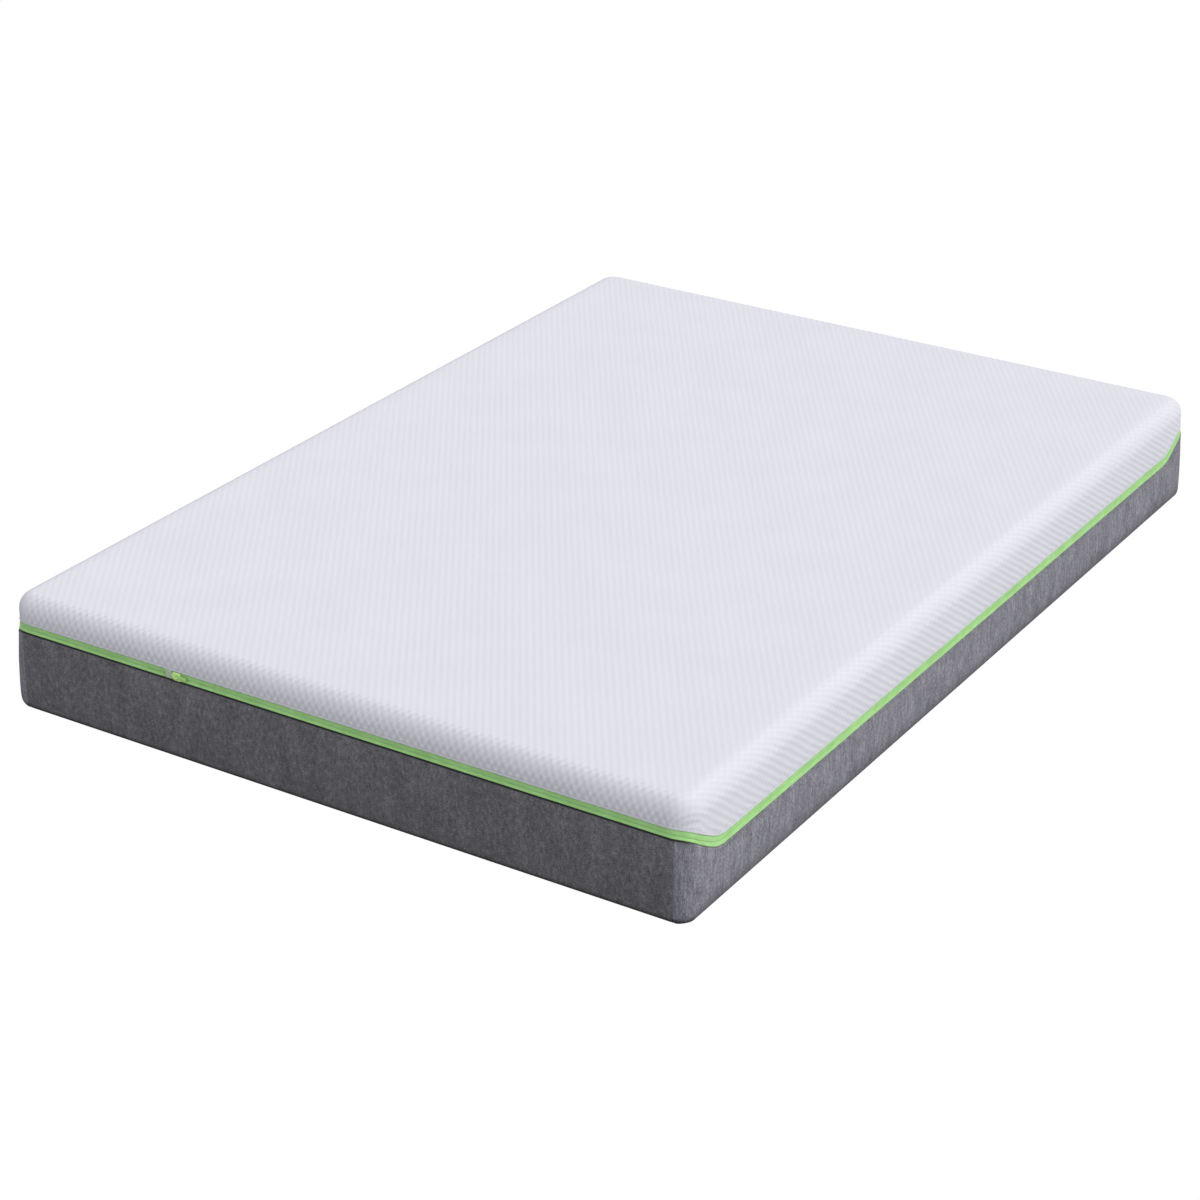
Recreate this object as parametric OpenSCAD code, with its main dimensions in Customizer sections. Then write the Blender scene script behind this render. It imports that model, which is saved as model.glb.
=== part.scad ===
// Memory foam mattress with a two-part cover that zips apart all round.
// X runs across the mattress, Y along it and Z up. The origin is the middle of the underside.

/* [Mattress] */
// Width across the made-up mattress
mattress_w = 1410; // [800:10:1900]
// Length of the made-up mattress
mattress_l = 2000; // [1800:10:2200]
// Height of the made-up mattress
mattress_h = 224; // [205:1:260]
// Corner radius seen from above
corner_r = 40; // [38:1:60]
// Radius of the soft top edge
top_edge_r = 32; // [24:1:34]
// Radius with which the border turns under at the floor
bottom_edge_r = 16; // [14:1:20]

/* [Zip line] */
// Height of the zip's parting line on the short sides
zip_end_z = 165; // [155:1:166]
// Height of the zip's parting line along the long sides
zip_side_z = 116; // [105:1:150]
// Length over which the line drops, from the short side round the corner to the long side
zip_drop_run = 105; // [90:5:200]
// Height of the tape that shows between the two covers
zip_band_h = 16; // [15:0.5:17]
// How much more of the lower tape shows along the long sides
side_reveal = 3; // [0:0.5:3]
// Height that each tape reaches from the parting line, sewn under its cover
tape_h = 18; // [16:0.5:18]
// Gap between the upper and the lower half of the zip
parting_gap = 1; // [0.8:0.1:1.4]
// Thickness of a tape
tape_t = 1; // [0.8:0.1:1.2]
// Depth of a coil behind its tape
coil_d = 2.2; // [1.8:0.1:2.6]
// Height of a coil
coil_h = 3; // [2.5:0.1:3.4]

/* [Fabric and filling] */
// Thickness of the cover fabrics
fabric_t = 3; // [2:0.5:4]
// Thickness of the padding behind the border
padding_t = 9; // [6:0.5:10]
// Thickness of the wadding under the knit
wadding_t = 10; // [8:0.5:12]

/* [Foam core] */
// Thickness of the support foam
support_h = 130; // [100:1:135]
// Thickness of the transition foam
transition_h = 30; // [20:1:35]

/* [Slider] */
// Place of the slider along the front, from the middle
slider_x = -322; // [-500:1:-100]
// Length of the slider's plates
slider_l = 18; // [16:1:20]
// Height of the slider's plates
slider_h = 13; // [11:0.5:13]
// Length of the pull from its hinge to its tip
pull_l = 23; // [18:1:28]
// Height of the pull
pull_h = 8; // [7:0.5:9]

/* [Hidden] */
$fn = 96;

// Colours
knit_white = [0.88, 0.88, 0.92];
border_grey = [0.36, 0.36, 0.39];
panel_grey = [0.30, 0.30, 0.32];
padding_white = [0.93, 0.93, 0.91];
zip_green = [0.48, 0.76, 0.42];
coil_green = [0.42, 0.70, 0.36];
slider_green = [0.62, 0.80, 0.42];
patch_grey = [0.74, 0.75, 0.77];
support_blue = [0.80, 0.87, 0.93];
transition_green = [0.80, 0.90, 0.78];
memory_cream = [0.96, 0.94, 0.86];

// Centres of the four corner arcs
corner_x = mattress_w / 2 - corner_r;
corner_y = mattress_l / 2 - corner_r;

// Places outward from the corner centres, layer by layer
fabric_in = corner_r - fabric_t;
padding_in = fabric_in - padding_t;
wadding_in = fabric_in - wadding_t;
tape_in = fabric_in - tape_t;
coil_in = tape_in - coil_d;
core_gap = 1;
core_out = wadding_in - core_gap;

// Heights of the layers
panel_t = fabric_t;
core_z = panel_t + core_gap;
core_top = mattress_h - fabric_t - wadding_t - core_gap / 2;
transition_z = core_z + support_h;
memory_z = transition_z + transition_h;
// Lowest height that the upper cover's wall is drawn to before the zip line trims it
skirt_z = zip_side_z - tape_h;
pad_gap = 0.5;

// Zip line, which stays level across the depth of the short sides' walls
level_run = 10;
drop_steps = 12;
beyond = 50;
half_gap = parting_gap / 2;
hem_h = zip_band_h / 2;

// Where the two ends of the zip meet, left of the slider
end_run = 19;
end_x = slider_x - end_run;
tape_end_gap = 8;
stop_l = 4;
coil_end_gap = tape_end_gap + 2 * stop_l;
stop_lift = 0.4;
patch_l = 16;
patch_t = 1.6;
patch_edge = 0.3;

// Slider, measured outward from the front face and up from the parting line
front_y = -mattress_l / 2;
plate_t = 2;
plate_gap = 0.4;
plate_back = -(fabric_t - plate_gap);
fin_h = 0.7;
fin_l = 7;
back_plate_t = 1.6;
back_plate_gap = 0.8;
back_plate_front = -(corner_r - coil_in) - back_plate_gap;
lip_h = 1.6;
lip_reach = 2.4;
arch_l = 10;
arch_w = 2.4;
arch_t = 1;
arch_room = 2.8;
plate_front = plate_back + plate_t;

// Pull, whose cross bar turns under the slider's arch
pin_r = 0.9;
pin_gap = 0.5;
pull_axis = plate_front + pin_gap + pin_r;
pull_t = 1.6;
pull_arm = 1.4;
pull_from = 6.4;
pull_hole_r = 1.6;
hole_over = 1;

// How far the zip line has dropped at a place along the mattress, from 0 to 1
function ease(t) = t * t * (3 - 2 * t);
function dropped(y) = ease(min(1, max(0, (mattress_l / 2 - level_run - abs(y)) / zip_drop_run)));

// Height of the zip's parting line at a place along the mattress
function zip_z(y) = zip_end_z + (zip_side_z - zip_end_z) * dropped(y);

// Places along the mattress at which the parting line is drawn
zip_ys = [
    -mattress_l / 2 - beyond,
    for (i = [0:drop_steps]) -mattress_l / 2 + level_run + zip_drop_run * i / drop_steps,
    for (i = [drop_steps:-1:0]) mattress_l / 2 - level_run - zip_drop_run * i / drop_steps,
    mattress_l / 2 + beyond
];

// The zone between two heights above the parting line, right across the mattress,
// with its top so much lower along the long sides
module zip_zone(low, high, lower = 0) {
    below = [for (y = zip_ys) [y, zip_z(y) + low]];
    above = [
        for (i = [len(zip_ys) - 1:-1:0])
            [zip_ys[i], zip_z(zip_ys[i]) + high - lower * dropped(zip_ys[i])]
    ];
    translate([-mattress_w / 2 - beyond, 0, 0])
        rotate([90, 0, 90])
            linear_extrude(mattress_w + 2 * beyond)
                polygon(concat(below, above));
}

// A wall profile carried along one straight short side, at the back
module short_wall() {
    translate([-corner_x, corner_y, 0])
        rotate([90, 0, 90])
            linear_extrude(2 * corner_x)
                children();
}

// A wall profile carried along the right side and round its two corners
module long_wall() {
    translate([corner_x, corner_y, 0])
        rotate([90, 0, 0])
            linear_extrude(2 * corner_y)
                children();
    translate([corner_x, corner_y, 0])
        rotate_extrude(angle = 90)
            children();
    translate([corner_x, -corner_y, 0])
        rotate([0, 0, -90])
            rotate_extrude(angle = 90)
                children();
}

// A wall profile carried all round
module wall() {
    for (turn = [0, 180])
        rotate([0, 0, turn]) {
            short_wall() children();
            long_wall() children();
        }
}

// A wall of one thickness from the zone between two heights
module wall_rect(inner, outer, low, high) {
    translate([inner, low])
        square([outer - inner, high - low]);
}

// The flat middle that a wall profile starts from
module middle(low, high) {
    translate([-corner_x, -corner_y, low])
        cube([2 * corner_x, 2 * corner_y, high - low]);
}

// A slab with upright sides
module slab(reach, low, high) {
    wall() wall_rect(0, reach, low, high);
    middle(low, high);
}

// A quarter disc in the upper or lower outer corner of a profile
module quarter(x, y, r, up) {
    translate([x, y])
        intersection() {
            circle(r);
            translate([0, up ? 0 : -r])
                square(r);
        }
}

// A profile with a rounded top edge
module soft_profile(reach, low, high, r) {
    wall_rect(0, reach, low, high - r);
    wall_rect(0, reach - r, high - r, high);
    quarter(reach - r, high - r, r, true);
}

// A cap's profile: its roof and wall between two skins
module cap_profile(outer, inner, low, high, t, r) {
    difference() {
        soft_profile(outer, low, high, r);
        soft_profile(inner, low - beyond, high - t, r - t);
    }
}

// A cap: roof and wall all round, down to a height above the parting line
module cap(outer, inner, high, t, r, trim) {
    difference() {
        union() {
            wall() cap_profile(outer, inner, skirt_z, high, t, r);
            middle(high - t, high);
        }
        zip_zone(-mattress_h, trim);
    }
}

// One border profile: upright, then turned under to meet the bottom panel
module border_profile() {
    under = corner_r - bottom_edge_r;
    wall_rect(fabric_in, corner_r, bottom_edge_r, zip_end_z);
    difference() {
        quarter(under, bottom_edge_r, bottom_edge_r, false);
        translate([under, bottom_edge_r])
            circle(bottom_edge_r - fabric_t);
    }
}

// A border's wall cut off where the zip band starts
module trim_border() {
    intersection() {
        children();
        zip_zone(-mattress_h, -hem_h, side_reveal);
    }
}

module bottom_panel() {
    color(panel_grey)
        slab(corner_r - bottom_edge_r, 0, panel_t);
}

module front_border() {
    color(border_grey)
        rotate([0, 0, 180])
            trim_border()
                short_wall() border_profile();
}

module back_border() {
    color(border_grey)
        trim_border()
            short_wall() border_profile();
}

module left_border() {
    color(border_grey)
        rotate([0, 0, 180])
            trim_border()
                long_wall() border_profile();
}

module right_border() {
    color(border_grey)
        trim_border()
            long_wall() border_profile();
}

module border_padding() {
    color(padding_white)
        intersection() {
            wall() wall_rect(padding_in, fabric_in, bottom_edge_r, zip_end_z);
            zip_zone(-mattress_h, -tape_h - pad_gap);
        }
}

// The place where the zip's two ends leave room between them
module end_gap(width) {
    translate([end_x - width / 2, front_y - beyond, 0])
        cube([width, 2 * beyond, mattress_h]);
}

// A tape all round, between two heights above the parting line
module zip_tape(low, high) {
    color(zip_green)
        difference() {
            intersection() {
                wall() wall_rect(tape_in, fabric_in, skirt_z, mattress_h);
                zip_zone(low, high);
            }
            end_gap(tape_end_gap);
        }
}

// A coil behind its tape, between two heights above the parting line
module zip_coil(low, high) {
    color(coil_green)
        difference() {
            intersection() {
                wall() wall_rect(coil_in, tape_in, skirt_z, mattress_h);
                zip_zone(low, high);
            }
            end_gap(coil_end_gap);
        }
}

// The two blocks that end a coil, from a height above the parting line
module coil_stops(low) {
    depth = coil_d + stop_lift;
    color(coil_green)
        for (side = [-1, 1])
            translate([
                end_x + side * (tape_end_gap + stop_l) / 2 - stop_l / 2,
                front_y + fabric_t + tape_t,
                zip_end_z + low
            ])
                cube([stop_l, depth, coil_h + stop_lift]);
}

module lower_zip_tape() { zip_tape(-tape_h, -half_gap); }
module upper_zip_tape() { zip_tape(half_gap, tape_h); }
module lower_zip_coil() { zip_coil(-half_gap - coil_h, -half_gap); }
module upper_zip_coil() { zip_coil(half_gap, half_gap + coil_h); }
module lower_coil_stops() { coil_stops(-half_gap - coil_h - stop_lift); }
module upper_coil_stops() { coil_stops(half_gap); }

module zip_end_patch() {
    reach = hem_h - patch_edge;
    color(patch_grey)
        translate([end_x - patch_l / 2, front_y + fabric_t, zip_end_z]) {
            translate([0, -patch_t, -reach])
                cube([patch_l, patch_t, reach + half_gap]);
            translate([0, -patch_t, half_gap])
                cube([patch_l, patch_t - patch_edge, reach - half_gap]);
        }
}

// A block in the slider's own frame: x along the zip, from and to outward, low and high upward
module slider_block(x, length, from, to, low, high) {
    translate([slider_x + x, front_y - to, zip_end_z + low])
        cube([length, to - from, high - low]);
}

// A round end in the slider's own frame, its axis pointing outward
module slider_round(x, from, to, z, r) {
    translate([slider_x + x, front_y - from, zip_end_z + z])
        rotate([90, 0, 0])
            cylinder(r = r, h = to - from);
}

// A plate with a round nose, between two depths
module slider_plate(from, to) {
    nose_r = slider_h / 2;
    slider_round(-slider_l / 2 + nose_r, from, to, 0, nose_r);
    slider_block(-slider_l / 2 + nose_r, slider_l - nose_r, from, to, -nose_r, nose_r);
}

module slider_body() {
    back = back_plate_front - back_plate_t;
    arch_top = plate_front + arch_room;
    color(slider_green) {
        slider_plate(plate_back, plate_front);
        slider_plate(back, back_plate_front);
        slider_block(-fin_l, fin_l, back_plate_front, plate_back, -fin_h / 2, fin_h / 2);
        slider_block(
            -slider_l / 2 + slider_h / 2, slider_l - slider_h / 2,
            back_plate_front, back_plate_front + lip_reach,
            -slider_h / 2, -slider_h / 2 + lip_h
        );
        for (end = [-arch_l / 2, arch_l / 2 - arch_t])
            slider_block(end, arch_t, plate_front, arch_top, -arch_w / 2, arch_w / 2);
        slider_block(-arch_l / 2, arch_l, arch_top, arch_top + arch_t, -arch_w / 2, arch_w / 2);
    }
}

module pull_tab() {
    low = pull_axis - pull_t / 2;
    high = pull_axis + pull_t / 2;
    tip_r = pull_h / 2;
    color(slider_green) {
        translate([slider_x, front_y - pull_axis, zip_end_z - pull_h / 2])
            cylinder(r = pin_r, h = pull_h);
        for (side = [-1, 1])
            slider_block(
                0, pull_from, low, high,
                side > 0 ? pull_h / 2 - pull_arm : -pull_h / 2,
                side > 0 ? pull_h / 2 : -pull_h / 2 + pull_arm
            );
        difference() {
            union() {
                slider_block(pull_from, pull_l - tip_r - pull_from, low, high, -tip_r, tip_r);
                slider_round(pull_l - tip_r, low, high, 0, tip_r);
            }
            slider_round(pull_l - tip_r, low - hole_over, high + hole_over, 0, pull_hole_r);
        }
    }
}

module support_foam_core() {
    color(support_blue)
        slab(core_out, core_z, transition_z);
}

module transition_foam_layer() {
    color(transition_green)
        slab(core_out, transition_z, memory_z);
}

module memory_foam_layer() {
    edge_r = top_edge_r - fabric_t - wadding_t;
    color(memory_cream) {
        wall() soft_profile(core_out, memory_z, core_top, edge_r);
        middle(memory_z, core_top);
    }
}

module knit_top_panel() {
    color(knit_white)
        cap(corner_r, fabric_in, mattress_h, fabric_t, top_edge_r, hem_h);
}

module top_wadding() {
    edge_r = top_edge_r - fabric_t;
    color(padding_white)
        cap(fabric_in, wadding_in, mattress_h - fabric_t, wadding_t, edge_r, tape_h + pad_gap);
}

bottom_panel();
front_border();
back_border();
left_border();
right_border();
border_padding();
lower_zip_tape();
lower_zip_coil();
lower_coil_stops();
zip_end_patch();
slider_body();
pull_tab();
support_foam_core();
transition_foam_layer();
memory_foam_layer();
knit_top_panel();
top_wadding();
upper_zip_tape();
upper_zip_coil();
upper_coil_stops();
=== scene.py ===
"""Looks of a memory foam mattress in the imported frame, in metres: knit, zip, grey borders and foam core."""

import math

import bmesh
import bpy
import numpy as np
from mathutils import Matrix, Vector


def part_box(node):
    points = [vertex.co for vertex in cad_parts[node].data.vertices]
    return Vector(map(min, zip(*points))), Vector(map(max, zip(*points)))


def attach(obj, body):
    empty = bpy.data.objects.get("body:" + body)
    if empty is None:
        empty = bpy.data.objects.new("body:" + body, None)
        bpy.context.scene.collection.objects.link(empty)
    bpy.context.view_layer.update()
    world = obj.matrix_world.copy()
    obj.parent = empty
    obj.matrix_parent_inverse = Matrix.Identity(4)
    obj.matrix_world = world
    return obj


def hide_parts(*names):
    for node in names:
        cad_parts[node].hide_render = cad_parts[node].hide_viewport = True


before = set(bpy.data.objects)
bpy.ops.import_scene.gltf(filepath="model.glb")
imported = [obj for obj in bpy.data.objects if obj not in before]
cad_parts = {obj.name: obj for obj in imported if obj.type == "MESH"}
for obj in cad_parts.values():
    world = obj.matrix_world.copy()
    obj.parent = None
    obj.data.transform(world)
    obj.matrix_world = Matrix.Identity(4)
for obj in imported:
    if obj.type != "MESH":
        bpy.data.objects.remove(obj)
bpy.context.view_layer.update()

MM = 0.001
scene = bpy.context.scene

# ---- camera

# Worked out from the mattress's outline in the photograph: place, and angles down and round from +X
CAMERA_AT, CAMERA_DOWN, CAMERA_ROUND = (2.7363, -4.4588, 2.5448), 0.4553, 2.1363

camera = bpy.data.objects.new("camera", bpy.data.cameras.new("camera"))
scene.collection.objects.link(camera)
camera.data.sensor_width = 36
camera.data.lens = 89.73
camera.location = CAMERA_AT
camera.rotation_euler = (math.pi / 2 - CAMERA_DOWN, 0, CAMERA_ROUND - math.pi / 2)
scene.camera = camera
scene.view_settings.view_transform = "Standard"

# ---- shape of the mattress

knit_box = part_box("knit_top_panel")
HALF_W, HALF_L, HEIGHT = knit_box[1].x, knit_box[1].y, knit_box[1].z - 0.6 * MM
CORNER_R = 0.040
CORNER_X, CORNER_Y = HALF_W - CORNER_R, HALF_L - CORNER_R
ZIP_GAP = 0.5 * MM
# The zip's parting line is higher on the ends, which are the short sides, than on the long sides
ZIP_END_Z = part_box("lower_zip_tape")[1].z + ZIP_GAP
ZIP_SIDE_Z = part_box("upper_zip_tape")[0].z - ZIP_GAP
# Where that drop starts on each corner's arc, and its length along the wall
DROP_FROM, DROP_RUN = 0.012, 0.135
# How much more tape shows below the zip on the long sides
SIDE_REVEAL = 0.003
EDGE_R = 0.032
TOP_TAPER = 0.003
# How far inside the outline a flat face's grid starts
LID_DEPTH = 0.0425
# The turn under the mattress, at the ends and long sides, and what corners add
TURN_END_R, TURN_SIDE_R, TURN_CORNER_MORE = 0.0146, 0.0183, 0.003
# Where the border's upright seams stand
SEAM_X = 0.677
stop_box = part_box("lower_coil_stops")
ZIP_ENDS_X = (stop_box[0].x + stop_box[1].x) / 2
slider_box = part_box("slider_body")
SLIDER_X = (slider_box[0].x + slider_box[1].x) / 2


def zip_height(x, y):
    """Height of the zip's parting line at a place on the wall. It drops round each corner."""
    beyond_x, beyond_y = np.maximum(np.abs(x) - CORNER_X, 0), np.abs(y) - CORNER_Y
    turn = np.arctan2(beyond_x, np.maximum(beyond_y, 1e-6))
    t = np.clip((CORNER_R * turn + np.maximum(-beyond_y, 0) - DROP_FROM) / DROP_RUN, 0, 1)
    return ZIP_END_Z + (ZIP_SIDE_Z - ZIP_END_Z) * t * t * (3 - 2 * t)


def turn_radius(x, y):
    """Radius of the wall's turn under the mattress at a place on the wall. It is largest at the corners."""
    turn = np.arctan2(np.maximum(np.abs(x) - CORNER_X, 0), np.maximum(np.abs(y) - CORNER_Y, 1e-6))
    plain = TURN_END_R + (TURN_SIDE_R - TURN_END_R) * np.sin(turn) ** 2
    return plain + TURN_CORNER_MORE * np.sin(2 * turn) ** 2


def wall_xy(st):
    """Place on the wall in x and y of each station."""
    angle = np.radians(st[:, 2])
    return st[:, 0] * CORNER_X + np.cos(angle) * CORNER_R, st[:, 1] * CORNER_Y + np.sin(angle) * CORNER_R


def zip_z(st):
    """Height of the zip's parting line at each station, as a column."""
    return zip_height(*wall_xy(st))[:, None]


def turn_r(st):
    """Radius of the turn under the mattress at each station, as a column."""
    return turn_radius(*wall_xy(st))[:, None]


def tuck(z0):
    """How much lower the border's top lies under the parting line, towards the long sides."""
    return SIDE_REVEAL * (ZIP_END_Z - z0) / (ZIP_END_Z - ZIP_SIDE_Z)


def outline(z):
    """Half width, half length and corner radius of the outside at a height."""
    z = np.asarray(z, float)
    bulge = np.interp(z, [0, 0.05, 0.12], [0.0012, 0.0010, 0])
    half_w = HALF_W + bulge
    half_l = np.interp(z, [0, 0.10, HEIGHT], [HALF_L, HALF_L, HALF_L - TOP_TAPER]) + bulge
    heights = [0, 0.04, 0.10, 0.16, 0.18, HEIGHT]
    radius = np.interp(z, heights, [0.027, 0.025, 0.028, 0.037, 0.044, 0.042])
    return half_w, half_l, radius


# A station is a place along the wall: its share of the way to the corners' centres in x and y, and the
# angle in degrees at which the wall faces out.
def side(k, along):
    """Stations along side k: 0 front, 1 right, 2 back, 3 left, anticlockwise from above."""
    spot = [lambda t: (t, -1), lambda t: (1, t), lambda t: (-t, 1), lambda t: (-1, -t)][k]
    return [(*spot(t), k * 90 - 90) for t in along]


def corner(k, steps):
    """Stations round the corner that follows side k."""
    x, y = [(1, -1), (1, 1), (-1, 1), (-1, -1)][k]
    return [(x, y, k * 90 - 90 + 90 * i / steps) for i in range(steps + 1)]


def chain(*runs):
    """Runs of stations as one array, each station that repeats the one before left out."""
    made = []
    for run in runs:
        for s in run:
            if not made or sum(abs(a - b) for a, b in zip(made[-1], s)) > 1e-6:
                made.append(s)
    return np.array(made, float)


def shares(half, step, fine=(), low=-1.0, high=1.0):
    """Shares from low to high about a step apart, and more at the fine distances from both ends."""
    n = max(2, round((high - low) * half / step))
    made = list(np.linspace(low, high, n + 1))
    for f in fine:
        made += [low + f / half, high - f / half]
    return sorted(made)


def lengths(st):
    """Distance along the wall of each station, from the first."""
    dx = np.diff(st[:, 0]) * CORNER_X
    dy = np.diff(st[:, 1]) * CORNER_Y
    arc = np.abs(np.diff(np.radians(st[:, 2]))) * CORNER_R
    return np.concatenate([[0], np.cumsum(np.hypot(dx, dy) + arc)])


def place(st, d, z):
    """Points at depth d behind the outside and height z, for each station."""
    half_w, half_l, radius = outline(z)
    angle = np.radians(st[:, 2])[:, None]
    reach = np.maximum(radius - d, 0)
    spare = np.maximum(d - radius, 0)
    x = st[:, 0][:, None] * (half_w - radius - spare) + np.cos(angle) * reach
    y = st[:, 1][:, None] * (half_l - radius - spare) + np.sin(angle) * reach
    return np.stack([x, y, np.broadcast_to(z, x.shape)], -1)


def place_strip(st, d, z):
    """As place, but slid along the wall at the corners, so that the seams between strips stand upright."""
    half_w, half_l, radius = outline(z)
    start = half_w - radius
    sign_x, sign_y = np.sign(st[:, 0])[:, None], np.sign(st[:, 1])[:, None]
    turned = np.arccos(np.clip(sign_y * np.sin(np.radians(st[:, 2]))[:, None], -1, 1))
    # Distance along the wall past the start of the corner, at each height
    u = np.where(turned > 1e-6, turned * radius, (np.abs(st[:, 0])[:, None] - 1) * start)
    u = u + (SEAM_X - start) * np.clip(1 - (u / (1.5 * radius)) ** 2, 0, 1) ** 2
    turned = np.maximum(u, 0) / radius
    x = sign_x * (start + np.minimum(u, 0) + np.sin(turned) * (radius - d))
    y = st[:, 1][:, None] * (half_l - radius) + sign_y * np.cos(turned) * (radius - d)
    return np.stack([x, y, np.broadcast_to(z, x.shape)], -1)


def waves(x, y, size, seed, count=7):
    """Smooth unevenness, about -1 to 1, with bumps about size metres across."""
    rng = np.random.default_rng(seed)
    total = np.zeros(np.broadcast(x, y).shape)
    for _ in range(count):
        a, k = rng.uniform(0, 2 * math.pi), rng.uniform(0.6, 1.6) / size
        phase = rng.uniform(0, 2 * math.pi)
        total += np.sin(2 * math.pi * k * (x * math.cos(a) + y * math.sin(a)) + phase)
    return total / math.sqrt(count) / 1.4


def add_object(name, me):
    """A mesh in the scene as an object."""
    o = bpy.data.objects.new(name, me)
    scene.collection.objects.link(o)
    return o


def smooth_shading(me):
    me.polygons.foreach_set("use_smooth", [True] * len(me.polygons))


def weld(me):
    """Merges points at one place, faces every shell outwards and shades it smooth."""
    bm = bmesh.new()
    bm.from_mesh(me)
    bmesh.ops.remove_doubles(bm, verts=bm.verts, dist=1e-6)
    bmesh.ops.recalc_face_normals(bm, faces=bm.faces)
    bm.to_mesh(me)
    bm.free()
    smooth_shading(me)


def mesh_object(name, points, faces, sheet=None):
    """A welded mesh. sheet is each point's place in the flat cloth, for the materials."""
    me = bpy.data.meshes.new(name)
    me.from_pydata(np.asarray(points).tolist(), [], faces)
    if sheet is not None:
        a = me.attributes.new("sheet", "FLOAT_VECTOR", "POINT")
        a.data.foreach_set("vector", np.asarray(sheet, np.float32).ravel())
    weld(me)
    return add_object(name, me)


def skin(name, st, d, z, closed=False, ring=False, lids=(), sheet=None, ends=False, placed=place):
    """A structured surface: stations along, profile rows of depth d and height z across.

    closed joins the last station to the first and ring the last row to the first. ends closes the first
    and the last station. lids are (row, shares in x, shares in y), each a flat grid inside a row.
    """
    d = np.broadcast_to(d, (len(st), np.shape(d)[-1])).astype(float)
    z = np.broadcast_to(z, d.shape).astype(float)
    points = placed(st, d, z)
    n, rows = d.shape
    if sheet is None:
        along = lengths(st)[:, None]
        step = np.hypot(np.diff(d, axis=1), np.diff(z, axis=1))
        across = np.concatenate([np.zeros((n, 1)), np.cumsum(step, 1)], 1)
        sheet = np.stack([np.broadcast_to(along, d.shape), across, np.ones(d.shape)], -1)
    points, sheet = [points.reshape(-1, 3)], [np.asarray(sheet).reshape(-1, 3)]
    faces = []
    for i in range(n if closed else n - 1):
        j = (i + 1) % n
        for k in range(rows if ring else rows - 1):
            m = (k + 1) % rows
            faces.append((i * rows + k, j * rows + k, j * rows + m, i * rows + m))
    if ends:
        faces.append(tuple(range(rows))[::-1])
        faces.append(tuple((n - 1) * rows + k for k in range(rows)))
    count = n * rows
    for row, fx, fy in lids:
        height = float(z[0, row])
        half_w, half_l, radius = outline(height)
        depth = float(d[0, row])
        inset = max(float(radius), depth)
        gx, gy = np.meshgrid(np.array(fx), np.array(fy))
        lid_x, lid_y = gx * (half_w - inset), gy * (half_l - inset)
        points.append(np.stack([lid_x, lid_y, np.full(gx.shape, height)], -1).reshape(-1, 3))
        sheet.append(np.stack([lid_x, lid_y, 0 * gx], -1).reshape(-1, 3))
        w = len(fx)
        for a in range(len(fy) - 1):
            for b in range(w - 1):
                q = count + a * w + b
                faces.append((q, q + 1, q + w + 1, q + w))
        count += gx.size
    return mesh_object(name, np.concatenate(points), faces, np.concatenate(sheet))


def subdivide(o):
    m = o.modifiers.new("smooth", "SUBSURF")
    m.levels = m.render_levels = 1


def vectors(items, name):
    """A vector of each vertex, as rows."""
    values = np.empty(len(items) * 3)
    items.foreach_get(name, values)
    return values.reshape(-1, 3)


def coords(o):
    return vectors(o.data.vertices, "co")


def set_coords(o, co):
    o.data.vertices.foreach_set("co", np.asarray(co, np.float32).ravel())
    o.data.update()


def set_value(o, name, values):
    """A number at each point, for the material to read by its name."""
    a = o.data.attributes.new(name, "FLOAT", "POINT")
    a.data.foreach_set("value", values.astype(np.float32))


CORNER_STEPS = 8


def all_round(fx, fy, steps=CORNER_STEPS):
    """Stations all round, with the shares fx on the ends and fy on the long sides."""
    runs = []
    for k in range(4):
        runs += [side(k, fx if k % 2 == 0 else fy), corner(k, steps)]
    return chain(*runs)[:-1]


def zip_round(step_x, step_y, steps, gap):
    """Stations from one end of the zip round to the other, with a gap between them on the front."""
    low, high = (ZIP_ENDS_X - gap / 2) / CORNER_X, (ZIP_ENDS_X + gap / 2) / CORNER_X
    first = shares(CORNER_X, step_x, low=high, high=1.0)
    last = shares(CORNER_X, step_x, low=-1.0, high=low)
    fx, fy = shares(CORNER_X, step_x), shares(CORNER_Y, step_y)
    return chain(
        side(0, first), corner(0, steps), side(1, fy), corner(1, steps),
        side(2, fx), corner(2, steps), side(3, fy), corner(3, steps), side(0, last),
    )


# ---- materials


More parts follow.
